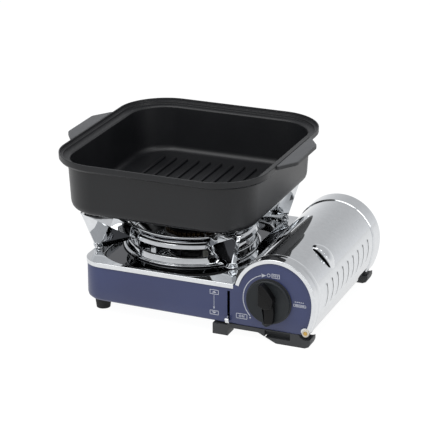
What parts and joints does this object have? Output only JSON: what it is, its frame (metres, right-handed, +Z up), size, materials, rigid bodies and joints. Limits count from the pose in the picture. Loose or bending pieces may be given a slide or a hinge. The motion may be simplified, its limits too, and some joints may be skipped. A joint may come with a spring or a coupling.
{
  "type": "butane cassette stove",
  "caption": "Portable single-burner gas stove with a side canister bay under a hinged chrome cover, folded-sheet trivet arms and a square grill pan.",
  "frame": {"origin": "middle of the whole outline, on the ground", "axes": "+X towards the canister side, -Y the front with the knob, +Z up; the cover, knob and canister axes lie along Y"},
  "size_m": [0.3468, 0.285, 0.1803],
  "materials": {
    "blue_paint": "semi-gloss",
    "chrome_sheet": "polished",
    "zinc_sheet": "satin",
    "aluminium_sheet": "satin",
    "die_cast": "as cast",
    "brass_parts": "turned",
    "steel_fixings": "zinc plated",
    "base_plastic": "fine grain",
    "black_plastic": "satin",
    "foot_rubber": "matt",
    "burner_cap": "matt",
    "ceramic_white": "glazed",
    "wire_red": "matt",
    "can_steel": "plain tinplate",
    "pan_coating": "matt non-stick"
  },
  "bodies": {
    "stove": {"body_shell": "blue_paint", "top_plate": "chrome_sheet", "burner_bowl": "chrome_sheet", "bay_partition": "zinc_sheet", "heat_transfer_plate": "aluminium_sheet", "base_frame": "base_plastic", "left_feet": "foot_rubber", "case_screws": "steel_fixings", "knob_bezel": "black_plastic", "regulator_body": "die_cast", "regulator_cover": "die_cast", "regulator_screws": "steel_fixings", "can_seat": "brass_parts", "notch_guide": "black_plastic", "gas_pipe": "brass_parts", "jet_nozzle": "brass_parts", "venturi_tube": "zinc_sheet", "burner_bracket": "zinc_sheet", "burner_body": "die_cast", "flame_ring": "brass_parts", "burner_head": "burner_cap", "electrode": "steel_fixings", "electrode_insulator": "ceramic_white", "ignition_wire": "wire_red", "piezo_igniter": "ceramic_white", "lever_pivot_pin": "steel_fixings", "lever_spring": "steel_fixings"},
    "cover": {"canister_cover": "chrome_sheet", "hinge_rod": "steel_fixings", "hinge_rod_caps": "brass_parts"},
    "knob_shaft": {"knob": "black_plastic", "valve_spindle": "brass_parts"},
    "plunger": {"igniter_plunger": "black_plastic"},
    "lever": {"lock_lever": "chrome_sheet"},
    "can_carriage": {"can_pusher": "zinc_sheet", "canister_body": "can_steel", "canister_valve": "brass_parts"},
    "trivet": {"trivet_ring": "chrome_sheet", "trivet_arm_front_left": "chrome_sheet", "trivet_arm_front_right": "chrome_sheet", "trivet_arm_rear_right": "chrome_sheet", "trivet_arm_rear_left": "chrome_sheet"},
    "grill_pan": {"pan": "pan_coating"}
  },
  "joints": [
    {"name": "cover_hinge", "type": "hinge", "parent": "stove", "child": "cover", "pos_m": [0.16165, -0.0095, 0.0185], "axis": [0, 1, 0], "range_deg": [0, 90]},
    {"name": "knob_turn", "type": "hinge", "parent": "stove", "child": "knob_shaft", "pos_m": [0.11765, -0.1255, 0.0492], "axis": [0, -1, 0], "range_deg": [0, 135]},
    {"name": "igniter_strike", "type": "slide", "parent": "stove", "child": "plunger", "axis": [-1, 0, 0], "range_m": [0, 0.003]},
    {"name": "lever_swing", "type": "hinge", "parent": "stove", "child": "lever", "pos_m": [0.06975, -0.0955, 0.036], "axis": [-1, 0, 0], "range_deg": [0, 50]},
    {"name": "canister_feed", "type": "slide", "parent": "stove", "child": "can_carriage", "axis": [0, 1, 0], "range_m": [0, 0.005]},
    {"name": "trivet_lift", "type": "slide", "parent": "stove", "child": "trivet", "axis": [0, 0, 1], "range_m": [0, 0.1]},
    {"name": "pan_lift", "type": "slide", "parent": "trivet", "child": "grill_pan", "axis": [0, 0, 1], "range_m": [0, 0.12]}
  ],
  "couplings": [
    {"joint": "igniter_strike", "follows": "knob_turn", "m_per_rad": 0.0012732},
    {"joint": "lever_swing", "follows": "canister_feed", "rad_per_m": 174.53}
  ]
}
